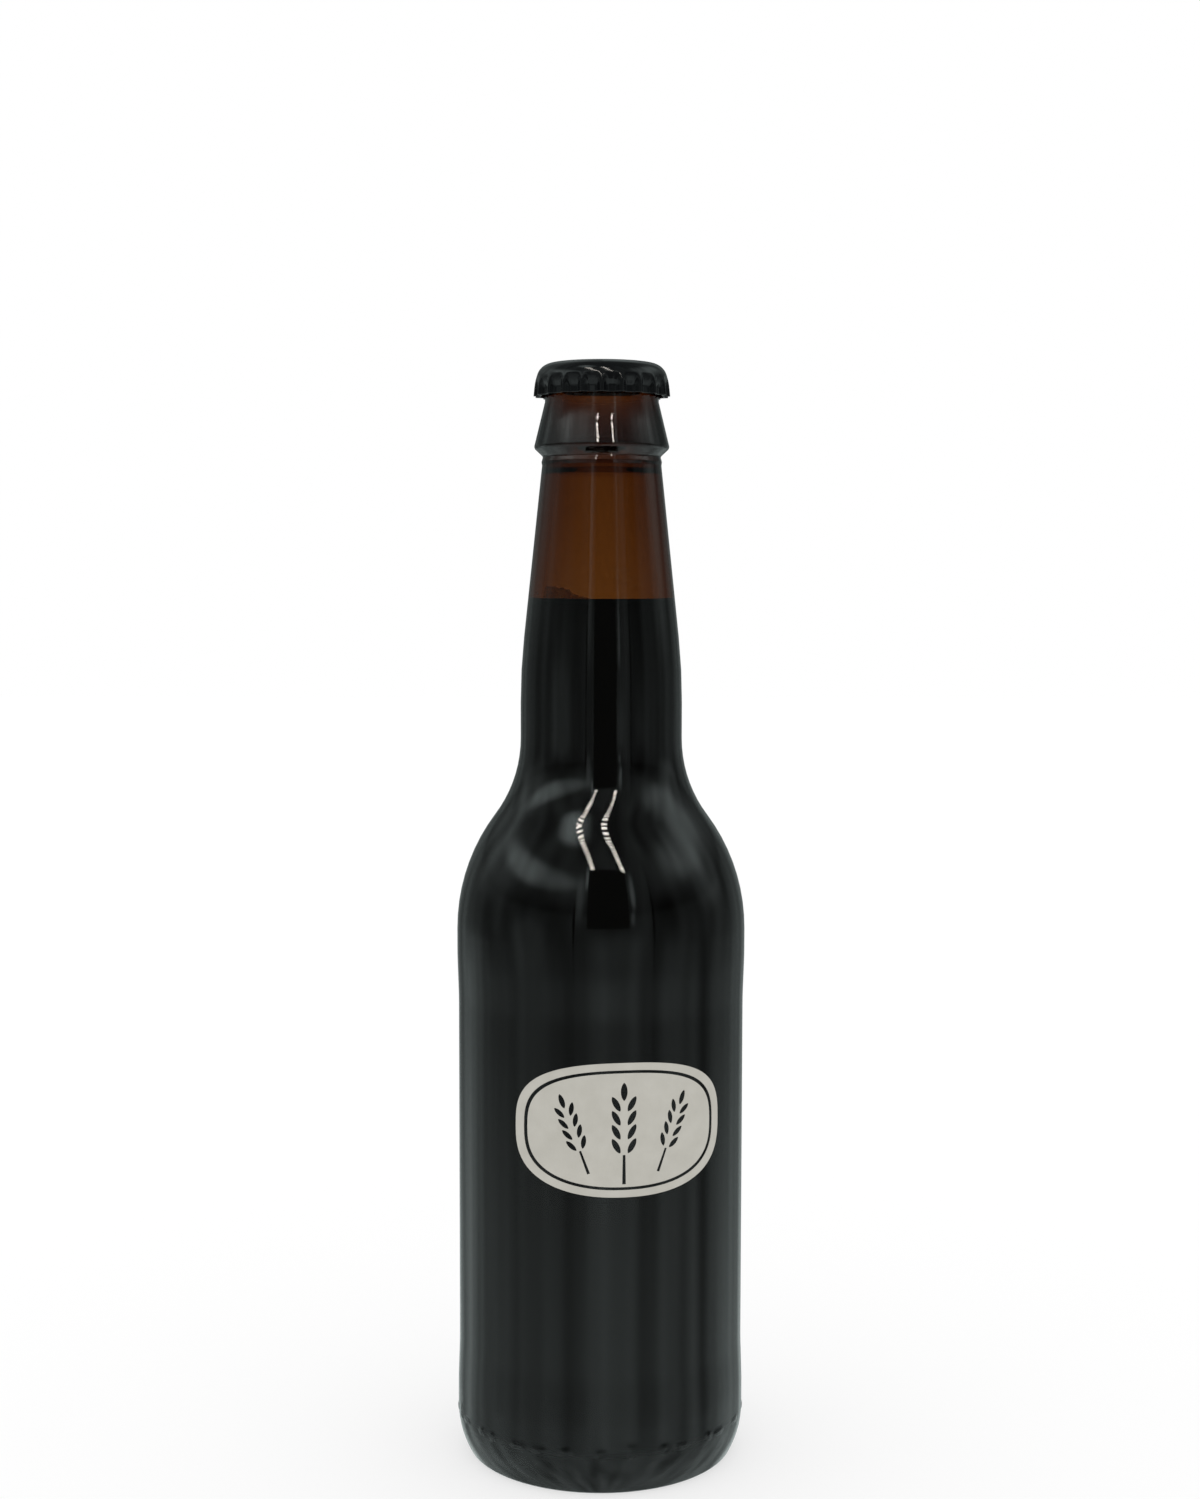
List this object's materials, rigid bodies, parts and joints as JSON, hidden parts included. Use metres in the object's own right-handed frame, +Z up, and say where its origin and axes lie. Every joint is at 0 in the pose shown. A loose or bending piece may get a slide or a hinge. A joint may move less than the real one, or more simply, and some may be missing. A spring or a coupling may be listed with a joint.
{
  "type": "beer bottle",
  "caption": "Full long-neck bottle of brown glass, closed with a fluted crown cap and filled with dark beer to the neck.",
  "frame": {"origin": "centre of the ring that the bottle stands on", "axes": "+Z up along the bottle's axis, -Y towards the printed front"},
  "size_m": [0.061, 0.061, 0.2312],
  "materials": {
    "amber_glass": "clear, glossy",
    "dark_beer": "still liquid",
    "black_lacquer": "glossy black lacquer on steel"
  },
  "bodies": {
    "root": {"bottle": "amber_glass", "beer": "dark_beer", "crown_cap": "black_lacquer"}
  },
  "joints": []
}
